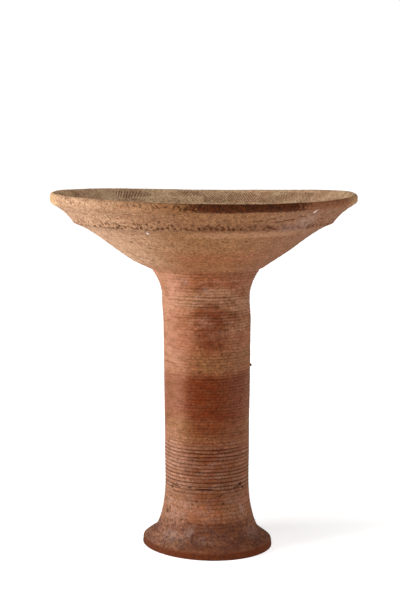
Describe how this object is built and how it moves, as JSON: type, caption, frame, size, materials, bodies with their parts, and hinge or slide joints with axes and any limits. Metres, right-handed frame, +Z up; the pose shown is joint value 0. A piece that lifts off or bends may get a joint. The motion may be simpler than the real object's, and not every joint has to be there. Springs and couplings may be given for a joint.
{
  "type": "ablution vessel",
  "caption": "Terracotta ablution vessel: a wide shallow bowl with a moulded lip and sharp shoulder on a tall, hollow, ribbed pedestal with a spreading foot.",
  "frame": {"origin": "on the floor, at the centre of the vessel's outline seen from above", "axes": "+Z up the pedestal towards the bowl, -Y towards the side seen in the picture, +X to that side's right"},
  "size_m": [0.561, 0.561, 0.6588],
  "materials": {
    "fired_clay": "bare, unglazed, low-fired coarse clay, matt and pitted"
  },
  "bodies": {
    "root": {"ablution_vessel": "fired_clay"}
  },
  "joints": []
}
